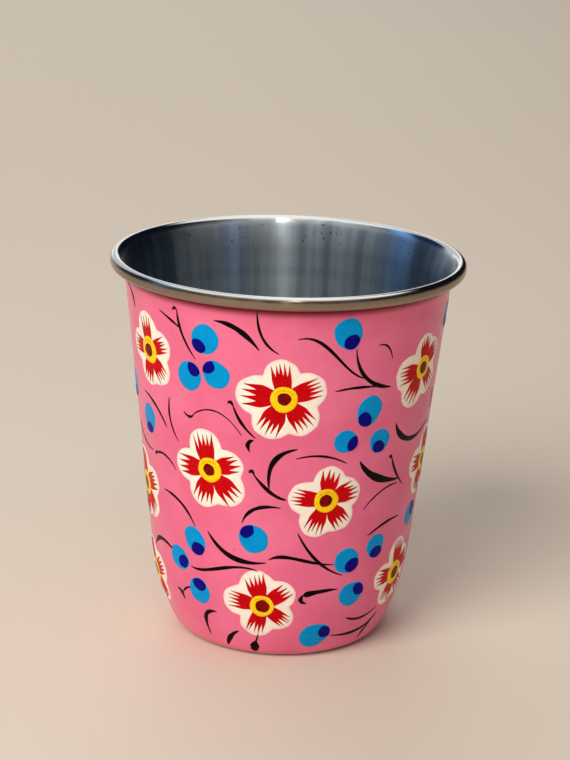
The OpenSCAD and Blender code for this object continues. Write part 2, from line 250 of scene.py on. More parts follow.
class Graph:
    """The nodes of one finish, or of the world."""

    def __init__(self, tree: bpy.types.NodeTree) -> None:
        """Empties a node tree to build in."""
        self.tree = tree
        tree.nodes.clear()

    @staticmethod
    def _find(sockets: bpy.types.bpy_prop_collection, key: int | str) -> bpy.types.NodeSocket:
        """Finds a socket by its number, its identifier or its name."""
        if isinstance(key, int):
            return sockets[key]
        return next(s for s in sockets if key in (s.identifier, s.name))

    def node(self, kind: str, settings: dict | None = None, inputs: dict | None = None,
             output: int | str = 0) -> Tone:
        """Adds a node.

        Args:
            kind: The node's type.
            settings: Its properties, set first.
            inputs: Values or links of its sockets, by number, identifier or name.
            output: The socket that is handed back.

        Returns:
            The value of that socket.
        """
        made = self.tree.nodes.new(kind)
        for key, value in (settings or {}).items():
            setattr(made, key, value)
        for key, value in (inputs or {}).items():
            socket = self._find(made.inputs, key)
            if isinstance(value, Tone):
                self.tree.links.new(value.socket, socket)
            else:
                socket.default_value = value
        return Tone(self, self._find(made.outputs, output) if made.outputs else None)

    def place(self) -> Tone:
        """Gives the place on the object, in metres."""
        return self.node("ShaderNodeTexCoord", output="Object")

    def attribute(self, name: str, output: str) -> Tone:
        """Gives an attribute of the mesh."""
        return self.node("ShaderNodeAttribute", {"attribute_name": name}, output=output)

    def vector(self, x: Tone | float, y: Tone | float, z: Tone | float) -> Tone:
        """Makes a vector of three values."""
        return self.node("ShaderNodeCombineXYZ", None, {"X": x, "Y": y, "Z": z})

    def axis(self, vector: Tone, name: str) -> Tone:
        """Takes one axis of a vector."""
        return self.node("ShaderNodeSeparateXYZ", None, {0: vector}, name)

    def stretch(self, vector: Tone, by: Triple) -> Tone:
        """Multiplies a vector, axis by axis."""
        return self.node("ShaderNodeVectorMath", {"operation": "MULTIPLY"}, {0: vector, 1: by})

    def noise(self, vector: Tone, scale: float, detail: float = 2.0, rough: float = 0.5) -> Tone:
        """Gives soft noise about one half."""
        return self.node("ShaderNodeTexNoise", None, {
            "Vector": vector, "Scale": scale, "Detail": detail, "Roughness": rough})

    def step(self, value: Tone, low: float, high: float) -> Tone:
        """Rises smoothly from 0 at low to 1 at high, or falls if low is the larger."""
        return self.node("ShaderNodeMapRange", {"interpolation_type": "SMOOTHSTEP"}, {
            "Value": value, "From Min": low, "From Max": high})

    def mix(self, share: Tone | float, first: Tone | Colour, second: Tone | Colour) -> Tone:
        """Mixes two colours."""
        return self.node("ShaderNodeMix", {"data_type": "RGBA"}, {
            "Factor_Float": share, "A_Color": first, "B_Color": second}, "Result_Color")

    def bump(self, height: Tone, depth: float, strength: float, under: Tone | None = None) -> Tone:
        """Turns a height into a surface direction, for a relief of a depth in metres.

        Args:
            height: The height, from 0 to 1.
            depth: Depth of the relief in metres.
            strength: How strongly it shows.
            under: The direction that a finer relief has given, if there is one.

        Returns:
            The direction.
        """
        inputs = {"Height": height, "Distance": depth, "Strength": strength}
        if under is not None:
            inputs["Normal"] = under
        return self.node("ShaderNodeBump", None, inputs)

    def surface(self, **inputs: Tone | float | Colour) -> None:
        """Ends a material in a Principled shader, with underscores for the spaces in its sockets."""
        named = {key.replace("_", " "): value for key, value in inputs.items()}
        shader = self.node("ShaderNodeBsdfPrincipled", None, named)
        self.node("ShaderNodeOutputMaterial", None, {"Surface": shader})


def new_material(name: str) -> tuple[bpy.types.Material, Graph]:
    """Makes an empty material and its graph."""
    material = bpy.data.materials.new(name)
    material.use_nodes = True
    return material, Graph(material.node_tree)


@dataclass(frozen=True)
class SteelFinish:
    """Bare drawn steel, satin from spinning: streaked up the wall, pitted where it starts to flare.

    The rim's outer face is duller than the rest, from handling, and is painted a darker, warmer brown: a
    painted reflection of a wooden surface. Places and depths are in metres, and a pair of numbers is
    where something starts to show and where it is full.
    """
    name: str = "spun_steel"
    bright: Colour = colour(203, 209, 211)
    dull: Colour = colour(164, 175, 185)
    polished: Colour = colour(240, 240, 237)
    # Painted reflection: a warm brown for the rim's outer face, standing for a wooden surface mirrored
    # in it.
    painted_wood_reflection: Colour = colour(136, 111, 86)
    pit: Colour = colour(48, 45, 42)
    satin: float = 0.35
    streak_satin: float = 0.06
    pit_satin: float = 0.2
    handled_satin: float = 0.1
    roll_polish: float = 0.25
    lines_per_m: float = 2600.0
    bands_per_m: float = 260.0
    pits_per_m: float = 1100.0
    patches_per_m: float = 76.0
    streaks_round: float = 14.0
    waves_round: float = 3.0
    axis_guard: float = 0.002
    flare_z: Pair = (0.087, 0.088)
    rim_z: Pair = (0.0933, 0.0929)
    rim_in_r: Pair = (0.0394, 0.0402)
    rim_out_r: Pair = (0.0413, 0.0416)
    patchy: Pair = (0.45, 0.6)
    pitted: Pair = (0.68, 0.72)
    pit_cover: float = 0.85
    streak_part: float = 0.55
    line_part: float = 0.2
    band_part: float = 0.25
    mottled: Pair = (0.42, 0.6)
    wood_reflection_even: float = 0.75
    wave_depth: float = 0.0003
    wave_bump: float = 0.25
    line_depth: float = 0.00003
    line_bump: float = 0.2
    brushed: float = 0.97
    across_lines: float = 0.25

    def make(self) -> bpy.types.Material:
        """Builds the material."""
        material, graph = new_material(self.name)
        place = graph.place()
        x, y, z = (graph.axis(place, name) for name in "XYZ")
        radius = graph.node("ShaderNodeVectorMath", {"operation": "LENGTH"},
                            {0: graph.vector(x, y, 0.0)}, "Value")
        along = radius + z
        lines = graph.noise(graph.vector(along * self.lines_per_m, 0.0, 0.0), 1.0, 3.0)
        bands = graph.noise(graph.vector(along * self.bands_per_m, 3.0, 0.0), 1.0, 2.0)
        from_axis = radius + self.axis_guard
        round_wall = graph.vector(x / from_axis, y / from_axis, z)
        streaks = graph.noise(round_wall, self.streaks_round, 3.0)
        waves = graph.noise(round_wall, self.waves_round, 1.0)
        rolled = graph.step(radius, *self.rim_in_r)
        outer = graph.step(z, *self.rim_z) * graph.step(radius, *self.rim_out_r)
        flared = graph.step(z, *self.flare_z) * (1 - rolled)
        patches = graph.step(graph.noise(place, self.patches_per_m, 1.0), *self.patchy)
        pits = graph.step(graph.noise(place, self.pits_per_m, 1.0), *self.pitted) * patches * flared
        mottle = streaks * self.streak_part + lines * self.line_part + bands * self.band_part
        dulled = graph.step(mottle, *self.mottled)
        # Painted reflection: the rim's outer face is mixed towards a brown that stands for a wooden
        # surface mirrored in it.
        worn = outer * (self.wood_reflection_even + lines * (1 - self.wood_reflection_even))
        tone = graph.mix(dulled, self.bright, self.dull)
        tone = graph.mix(rolled, tone, self.polished)
        tone = graph.mix(worn, tone, self.painted_wood_reflection)
        tone = graph.mix(pits * self.pit_cover, tone, self.pit)
        rough = self.satin + streaks * self.streak_satin + pits * self.pit_satin
        rough = rough - rolled * self.roll_polish + outer * self.handled_satin
        fine = graph.bump((lines + bands) * 0.5, self.line_depth, self.line_bump)
        normal = graph.bump(waves, self.wave_depth, self.wave_bump, fine)
        graph.surface(Base_Color=tone, Metallic=1.0, Roughness=rough, Normal=normal,
                      Anisotropic=self.brushed, Anisotropic_Rotation=self.across_lines)
        return material


@dataclass(frozen=True)
class EnamelFinish:
    """The pink ground coat: glossy, a little uneven in tone, with a few specks caught in it.

    The coat is painted darker in the corner under the rim: painted shade, where the rim overhangs it.
    Places and depths are in metres, and a pair of numbers is where something starts to show and where it
    is full.
    """
    name: str = "pink_enamel"
    body: Colour = colour(238, 116, 148)
    deep: Colour = colour(230, 104, 137)
    speck: Colour = colour(150, 38, 62)
    # Painted shade: a dark red for the corner under the rim, and the heights over which it sets in.
    under_rim_shade: Colour = colour(122, 12, 30)
    under_rim_shade_z: Pair = (0.0876, 0.0898)
    clouds_per_m: float = 70.0
    clouded: Pair = (0.3, 0.7)
    cells_per_m: float = 190.0
    cells_chosen: Pair = (0.86, 0.88)
    speck_edge: Pair = (0.065, 0.035)
    speck_cover: float = 0.7
    peel_per_m: float = 900.0
    flow_per_m: float = 160.0
    flow_part: float = 0.7
    relief: float = 0.0001
    bump: float = 0.25
    gloss: float = 0.2
    cloud_gloss: float = 0.08
    shine: float = 0.18

    def make(self) -> bpy.types.Material:
        """Builds the material."""
        material, graph = new_material(self.name)
        place = graph.place()
        cloud = graph.noise(place, self.clouds_per_m, 3.0)
        near, drawn = (graph.node("ShaderNodeTexVoronoi", {"feature": "F1", "voronoi_dimensions": "3D"},
                                  {"Vector": place, "Scale": self.cells_per_m}, output)
                       for output in ("Distance", "Color"))
        chosen = graph.step(graph.axis(drawn, "X"), *self.cells_chosen)
        specks = graph.step(near, *self.speck_edge) * chosen
        # Painted shade under the rim, where the rim overhangs the coat.
        corner = graph.step(graph.axis(place, "Z"), *self.under_rim_shade_z)
        tone = graph.mix(graph.step(cloud, *self.clouded), self.body, self.deep)
        tone = graph.mix(specks * self.speck_cover, tone, self.speck)
        tone = graph.mix(corner, tone, self.under_rim_shade)
        peel = graph.noise(place, self.peel_per_m, 2.0)
        flow = graph.noise(place, self.flow_per_m, 2.0)
        swell = peel * (1 - self.flow_part) + flow * self.flow_part
        graph.surface(Base_Color=tone, Roughness=self.gloss + cloud * self.cloud_gloss,
                      Normal=graph.bump(swell, self.relief, self.bump), Specular_IOR_Level=self.shine)
        return material


@dataclass(frozen=True)
class PaintFinish:
    """Brushed paint under varnish: streaked along the stroke, and thin at its ends and edges.

    Its hairs and pools are stretched along and across the stroke, and set apart from mark to mark.
    """
    name: str
    body: Colour
    deep: Colour
    thin: Colour
    streak: float = 0.5
    gloss: float = 0.2
    hair_gloss: float = 0.1
    shine: float = 0.06
    hair_stretch: Triple = (0.22, 2.4, 9.0)
    pool_stretch: Triple = (0.3, 0.3, 5.0)
    pool_part: float = 0.4
    streaked: Pair = (0.4, 0.68)
    ragged: float = 0.7
    worn: Pair = (0.35, 1.1)
    relief: float = 0.00006
    bump: float = 0.3

    def make(self) -> bpy.types.Material:
        """Builds the material."""
        material, graph = new_material(self.name)
        brush = graph.attribute("brush", "Vector")
        thin = graph.attribute("thin", "Fac")
        hairs = graph.noise(graph.stretch(brush, self.hair_stretch), 1.0, 3.0)
        pools = graph.noise(graph.stretch(brush, self.pool_stretch), 1.0, 2.0)
        load = hairs * (1 - self.pool_part) + pools * self.pool_part
        streaks = graph.step(load, *self.streaked) * self.streak
        worn = graph.step(thin + (hairs - 0.5) * self.ragged, *self.worn)
        tone = graph.mix(streaks, self.body, self.deep)
        tone = graph.mix(worn, tone, self.thin)
        graph.surface(Base_Color=tone, Roughness=self.gloss + hairs * self.hair_gloss,
                      Normal=graph.bump(hairs, self.relief, self.bump), Specular_IOR_Level=self.shine)
        return material


class Paint(Enum):
    """The paints of the pattern."""
    CREAM = PaintFinish("cream_paint", colour(252, 240, 221), colour(246, 226, 206),
                        colour(248, 196, 196))
    RED = PaintFinish("red_paint", colour(204, 3, 14), colour(158, 0, 6), colour(84, 14, 12))
    YELLOW = PaintFinish("yellow_paint", colour(255, 213, 24), colour(250, 184, 10),
                         colour(226, 128, 14))
    MAROON = PaintFinish("maroon_paint", colour(140, 8, 8), colour(48, 2, 4), colour(34, 2, 4), 0.95)
    BLUE = PaintFinish("blue_paint", colour(0, 150, 212), colour(0, 126, 190),
                       colour(12, 104, 160))
    NAVY = PaintFinish("navy_paint", colour(8, 2, 126), colour(2, 0, 74), colour(4, 30, 130))
    BLACK = PaintFinish("black_paint", colour(9, 3, 5), colour(4, 1, 2), colour(78, 12, 28))


# Modelling


def deselect() -> None:
    """Deselects every object, the frame's nodes too."""
    bpy.ops.object.select_all(action="DESELECT")


def edit(piece: bpy.types.Object) -> None:
    """Goes into edit mode on one piece, with vertices to select."""
    deselect()
    piece.select_set(True)
    bpy.context.view_layer.objects.active = piece
    bpy.ops.object.mode_set(mode="EDIT")
    bpy.ops.mesh.select_mode(type="VERT")


def pick(piece: bpy.types.Object, test: Callable[[Vector], bool]) -> None:
    """Selects, in edit mode, the vertices whose place passes a test."""
    mesh = bmesh.from_edit_mesh(piece.data)
    for vertex in mesh.verts:
        vertex.select_set(test(vertex.co))
    mesh.select_flush_mode()
    bmesh.update_edit_mesh(piece.data)


def finish_edit(name: str) -> bpy.types.Object:
    """Leaves edit mode and names the piece."""
    bpy.ops.object.mode_set(mode="OBJECT")
    piece = bpy.context.object
    piece.name = name
    piece.data.name = name
    return piece


def turned(name: str, outline: Sequence[complex], steps: int) -> bpy.types.Object:
    """Turns an outline about the cup's axis, as a spinner turns a profile.

    Args:
        name: Name of the piece.
        outline: Points in mm, each radius + height j, in order.
        steps: Steps round the axis.

    Returns:
        The closed piece.
    """
    deselect()
    bpy.ops.mesh.primitive_plane_add(size=MM)
    edit(bpy.context.object)
    bpy.ops.mesh.select_all(action="SELECT")
    bpy.ops.mesh.merge(type="CENTER")
    bpy.ops.transform.translate(value=(outline[0].real * MM, 0, outline[0].imag * MM))
    for here, there in zip(outline, outline[1:]):
        move = (there - here) * MM
        bpy.ops.mesh.extrude_vertices_move(TRANSFORM_OT_translate={"value": (move.real, 0, move.imag)})
    bpy.ops.mesh.select_all(action="SELECT")
    bpy.ops.mesh.remove_doubles(threshold=MERGE)
    bpy.ops.mesh.spin(steps=steps, angle=TURN, center=(0, 0, 0), axis=(0, 0, 1))
    bpy.ops.mesh.select_all(action="SELECT")
    bpy.ops.mesh.remove_doubles(threshold=MERGE)
    bpy.ops.mesh.normals_make_consistent(inside=False)
    return finish_edit(name)


def hand_over(piece: bpy.types.Object, material: bpy.types.Material, slot: str, *nodes: str) -> None:
    """Dresses a finished piece and gives it its place in the frame.

    Args:
        piece: The piece.
        material: Its finish.
        slot: The record's slot of that finish. Not used.
        nodes: The frame's nodes that it stands for.
    """
    deselect()
    piece.select_set(True)
    bpy.context.view_layer.objects.active = piece
    bpy.ops.object.shade_smooth_by_angle(angle=SMOOTH_BELOW)
    piece.data.materials.clear()
    piece.data.materials.append(material)
    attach(piece, BODY)
    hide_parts(*nodes)
    log.info("%s: %d faces, for %s", piece.name, len(piece.data.polygons), ", ".join(nodes))


def arc(centre: complex, radius: float, start: float, stop: float, step: float) -> list[complex]:
    """Gives the points of an arc, with angles and the step in radians."""
    steps = max(2, math.ceil(abs(stop - start) / step))
    return [centre + cmath.rect(radius, start + (stop - start) * i / steps) for i in range(steps + 1)]


def fillet(before: complex, corner: complex, after: complex, radius: float) -> list[complex]:
    """Rounds one corner of an outline."""
    there = (before - corner) / abs(before - corner)
    onward = (after - corner) / abs(after - corner)
    half = abs(cmath.phase(onward / there)) / 2
    middle = (there + onward) / abs(there + onward)
    centre = corner + middle * radius / math.sin(half)
    start = corner + there * radius / math.tan(half) - centre
    stop = corner + onward * radius / math.tan(half) - centre
    swing = cmath.phase(stop / start)
    return arc(centre, radius, cmath.phase(start), cmath.phase(start) + swing, BEND_STEP)


@dataclass(frozen=True)
class CupShape:
    """The sheet's outline, in mm, from the sizes that the frame's solids were made with.

    A point of the outline is a complex number: its radius, and its height as the imaginary part.
    """
    height: float
    rim_r: float
    base_r: float = 29.2
    sheet: float = 0.7
    heel_h: float = 22.0
    heel_r: float = 62.0
    corner_r: float = 5.0
    foot_w: float = 3.6
    recess_h: float = 1.2
    press_r: float = 1.4
    overhang: float = 3.2
    bead_w: float = 2.4
    bead_h: float = 3.1
    flare_r: float = 18.0
    curl_gap: float = 0.4
    coat: float = 0.2
    coat_gap: float = 0.3
    coat_edge: float = 1 / 3
    coat_stop: float = math.radians(25)
    press_slope: float = math.radians(45)

    @cached_property
    def slope(self) -> float:
        """Lean of the wall from upright."""
        return math.atan2(self.rim_r - self.overhang - self.base_r, self.height)

    @cached_property
    def out(self) -> complex:
        """Outward direction of the wall."""
        return cmath.rect(1, -self.slope)

    @cached_property
    def heel_c(self) -> complex:
        """Middle of the long bend at the foot of the wall."""
        top = complex(self.base_r + self.heel_h * math.tan(self.slope), self.heel_h)
        return top - self.heel_r * self.out

    @cached_property
    def heel_a(self) -> float:
        """Angle below level at which the long bend meets the tight one."""
        return math.asin((self.heel_c.imag - self.corner_r) / (self.heel_r - self.corner_r))

    @cached_property
    def corner_c(self) -> complex:
        """Middle of the tight bend at the standing ring."""
        return complex(self.heel_c.real + (self.heel_r - self.corner_r) * math.cos(self.heel_a),
                       self.corner_r)

    @cached_property
    def roll_c(self) -> complex:
        """Middle of the rim's upper bend."""
        return complex(self.rim_r - self.bead_w / 2, self.height - self.bead_w / 2)

    @cached_property
    def curl_c(self) -> complex:
        """Middle of the rim's lower bend."""
        return self.roll_c - 1j * (self.bead_h - self.bead_w)

    @cached_property
    def roll_r(self) -> float:
        """Radius of the roll, to the middle of the sheet."""
        return (self.bead_w - self.sheet) / 2

    @cached_property
    def flare_a(self) -> float:
        """Angle at which the flare runs into the roll."""
        off = ((self.roll_c - self.base_r) * self.out.conjugate()).real + self.sheet / 2
        return self.slope + math.acos((self.flare_r - off) / (self.flare_r - self.roll_r))

    @cached_property
    def flare_c(self) -> complex:
        """Middle of the flare."""
        return self.roll_c + cmath.rect(self.flare_r - self.roll_r, -self.flare_a)

    @cached_property
    def flare_face(self) -> float:
        """Radius of the steel's outer face in the flare."""
        return self.flare_r - self.sheet / 2

    @cached_property
    def coat_top(self) -> float:
        """Angle in the flare at which the coat stops, short of the rolled rim."""
        stop = self.height - self.bead_h - self.coat_gap
        return math.asin((stop - self.flare_c.imag) / self.flare_face)

    @cached_property
    def curl_end(self) -> float:
        """Angle at which the lower bend ends, to keep the rolled edge clear of the flare."""
        off = self.curl_c - self.flare_c
        clear = (self.flare_face - self.curl_gap) ** 2 - abs(off) ** 2 - (self.bead_w / 2) ** 2
        return cmath.phase(off) + math.acos(clear / (abs(off) * self.bead_w)) - TURN

    def pressed(self, lift: float) -> list[complex]:
        """Gives the pressed base, from the axis to the standing ring, on one face of the sheet."""
        ring_in = self.corner_c.real - self.foot_w + lift * math.tan(self.press_slope / 2)
        line = [
            complex(0, self.recess_h + lift),
            complex(ring_in - self.recess_h / math.tan(self.press_slope), self.recess_h + lift),
            complex(ring_in, lift),
            complex(self.corner_c.real, lift),
        ]
        return [line[0], *fillet(*line[:3], self.press_r), *fillet(*line[1:], self.press_r)]

    def sheet_outline(self) -> list[complex]:
        """Gives the whole sheet: up its outer face, round the rim, and down its inner face."""
        half = self.sheet / 2
        level = math.pi
        return [
            *self.pressed(0.0),
            *arc(self.corner_c, self.corner_r, -level / 2, -self.heel_a, BEND_STEP),
            *arc(self.heel_c, self.heel_r, -self.heel_a, -self.slope, LONG_STEP),
            *arc(self.flare_c, self.flare_face, level - self.slope, level - self.flare_a, LONG_STEP),
            *arc(self.roll_c, self.roll_r - half, level - self.flare_a, 0.0, 2 * BEND_STEP),
            *arc(self.curl_c, self.roll_r - half, 0.0, self.curl_end, 2 * BEND_STEP),
            *arc(self.curl_c, self.roll_r + half, self.curl_end, 0.0, BEND_STEP),
            *arc(self.roll_c, self.roll_r + half, 0.0, level - self.flare_a, BEND_STEP),
            *arc(self.flare_c, self.flare_r + half, level - self.flare_a, level - self.slope, LONG_STEP),
            *arc(self.heel_c, self.heel_r - self.sheet, -self.slope, -self.heel_a, LONG_STEP),
            *arc(self.corner_c, self.corner_r - self.sheet, -self.heel_a, -level / 2, BEND_STEP),
            *reversed(self.pressed(self.sheet)),
        ]

    def wall_line(self, lift: float) -> list[complex]:
        """Gives the painted part of the wall from its foot up, lifted off the steel."""
        level = math.pi
        foot = self.coat_stop - level / 2
        flare_r = self.flare_face - lift
        return [
            *arc(self.corner_c, self.corner_r + lift, foot, -self.heel_a, BEND_STEP),
            *arc(self.heel_c, self.heel_r + lift, -self.heel_a, -self.slope, LONG_STEP),
            *arc(self.flare_c, flare_r, level - self.slope, level - self.coat_top, LONG_STEP),
        ]

    def coat_outline(self) -> list[complex]:
        """Gives the closed outline of the coat, which runs out thin at both its edges."""
        inner = self.wall_line(0.0)
        outer = self.wall_line(self.coat)
        for end in (0, -1):
            outer[end] = inner[end] + (outer[end] - inner[end]) * self.coat_edge
        return [*inner, *reversed(outer), inner[0]]

    def lay(self, angle: float, flat: np.ndarray) -> np.ndarray:
        """Lays the points of a flat drawing on the painted wall.

        Args:
            angle: Where the drawing's middle line is on the wall, in degrees.
            flat: Rows of distance across, height and lift off the coat, in mm.

        Returns:
            Rows of places, in metres.
        """
        across, height, lift = flat.T
        lean = np.full_like(height, self.slope)
        radius = self.base_r + height * math.tan(self.slope) + self.coat / math.cos(self.slope)
        flare = (self.flare_c, self.coat - self.flare_face, self.slope)
        heel = (self.heel_c, self.heel_r + self.coat, self.slope)
        corner = (self.corner_c, self.corner_r + self.coat, self.heel_a)
        for centre, bend_r, start in (flare, heel, corner):
            bent = np.arcsin(np.clip((centre.imag - height) / bend_r, -1, 1))
            lean = np.where(bent > start, bent, lean)
            radius = np.where(bent > start, centre.real + bend_r * np.cos(bent), radius)
        turn = math.radians(angle) + np.arcsin(across / radius)
        radius = radius + lift * np.cos(lean)
        height = height - lift * np.sin(lean)
        return MM * np.column_stack((radius * np.sin(turn), -radius * np.cos(turn), height))

    def wall_r(self, height: float) -> float:
        """Gives the radius of the painted wall at a height."""
        place = self.lay(0.0, np.array([[0.0, height, 0.0]]))[0]
        return -place[1] / MM


# Brush marks


class Layer(Enum):
    """Layers of paint, each by its lift off the coat in mm."""
    ON_COAT = 0.0
    SECOND = 0.09
    THIRD = 0.2


class Blank:
    """A brush mark of unit size, modelled once: closed, domed on its face and nearly flat behind."""

    def __init__(self, piece: bpy.types.Object) -> None:
        """Flattens the back of a round form, and notes its points."""
        edit(piece)
        pick(piece, lambda place: place.z < -MERGE)
        bpy.ops.transform.resize(value=(1, 1, BACK), center_override=(0, 0, 0))
        bpy.ops.object.mode_set(mode="OBJECT")
        self.piece = piece
        self.points = np.array([vertex.co for vertex in piece.data.vertices])

    def copy(self) -> bpy.types.Object:
        """Copies the blank, with a mesh of its own."""
        made = self.piece.copy()
        made.data = self.piece.data.copy()
        bpy.context.scene.collection.objects.link(made)
        return made

    def rise(self) -> np.ndarray:
        """Gives each point's share of the film's thickness: a quick rise from the edge, then level."""
        level = self.points[:, 2]
        return np.where(level > 0, 1 - (1 - np.clip(level, 0, 1)) ** EDGE_RISE, level)

    def polar(self) -> tuple[np.ndarray, np.ndarray]:
        """Gives each point's bearing from the middle of a round blank, and its distance from there."""
        x, y, _ = self.points.T
        return np.arctan2(y, x), np.hypot(x, y)

    def discard(self) -> None:
        """Removes the blank itself."""
        bpy.data.objects.remove(self.piece)


def dab_blank(segments: int, rings: int) -> Blank:
    """Models a round dab."""
    deselect()
    bpy.ops.mesh.primitive_uv_sphere_add(segments=segments, ring_count=rings, radius=1)
    return Blank(bpy.context.object)


def stroke_blank(sides: int, stations: int) -> Blank:
    """Models a stroke of unit length along X, with even stations along it."""
    deselect()
    bpy.ops.mesh.primitive_cylinder_add(vertices=sides, radius=1, depth=1, end_fill_type="TRIFAN",
                                        location=(0.5, 0, 0), rotation=(0, math.pi / 2, 0))
    piece = bpy.context.object
    bpy.ops.object.transform_apply(location=True, rotation=True)
    edit(piece)
    mesh = bmesh.from_edit_mesh(piece.data)
    for face in mesh.faces:
        face.select_set(False)
    for edge in mesh.edges:
        start, stop = (vertex.co.x for vertex in edge.verts)
        edge.select_set(abs(start - stop) > 0.5)
    bmesh.update_edit_mesh(piece.data)
    bpy.ops.mesh.subdivide(number_cuts=stations - 1)
    bpy.ops.object.mode_set(mode="OBJECT")
    return Blank(piece)


@dataclass
class Film:
    """One layer of one paint: the marks in it, which end as one piece that stands for a node."""
    cup: CupShape
    blank: Blank
    name: str
    node: str
    paint: Paint
    layer: Layer
    thickness: float = 0.1
    marks: list[bpy.types.Object] = field(default_factory=list)

    def add(self, place: Pair, spots: np.ndarray, grain: np.ndarray, thin: np.ndarray) -> None:
        """Adds one mark, copied from the blank and laid on the wall.

        Args:
            place: Angle in degrees and height in mm of the point on the wall that it is drawn from.
            spots: Where each of the blank's points is from there, across + up j, in mm.
            grain: Where each point is in the brush's stroke, along + across j, in mm.
            thin: How thin the paint is at each point, from 0 to 1.
        """
        mark = self.blank.copy()
        lift = self.layer.value + self.thickness * self.blank.rise() - SINK
        flat = np.column_stack((spots.real, place[1] + spots.imag, lift))
        mesh = mark.data
        mesh.vertices.foreach_set("co", self.cup.lay(place[0], flat).ravel())
        number = np.full(len(grain), len(self.marks), float)
        brush = mesh.attributes.new("brush", "FLOAT_VECTOR", "POINT")
        brush.data.foreach_set("vector", np.column_stack((grain.real, grain.imag, number)).ravel())
        mesh.attributes.new("thin", "FLOAT", "POINT").data.foreach_set("value", thin)
        self.marks.append(mark)

    def dry(self) -> None:
        """Joins the marks into the finished piece, dressed in its paint."""
        self.blank.discard()
        deselect()
        for mark in self.marks:
            mark.select_set(True)
        bpy.context.view_layer.objects.active = self.marks[0]
        bpy.ops.object.join()
        edit(self.marks[0])
        bpy.ops.mesh.select_all(action="SELECT")
        bpy.ops.mesh.normals_make_consistent(inside=False)
        finish = self.paint.value
        hand_over(finish_edit(self.name), finish.make(), finish.name, self.node)


def ease(value: np.ndarray | float, low: float, high: float) -> np.ndarray:
    """Rises smoothly from 0 at low to 1 at high."""
    share = np.clip((value - low) / (high - low), 0, 1)
    return share * share * (3 - 2 * share)


def wobble(bearing: np.ndarray, draw: random.Random, depth: float, waves: Sequence[int]) -> np.ndarray:
    """Gives a hand's unevenness round an outline, as a factor about 1."""
    uneven = np.ones_like(bearing)
    for count in waves:
        uneven += depth * draw.uniform(0.4, 1) * np.cos(count * bearing + draw.uniform(0, TURN))
    return uneven


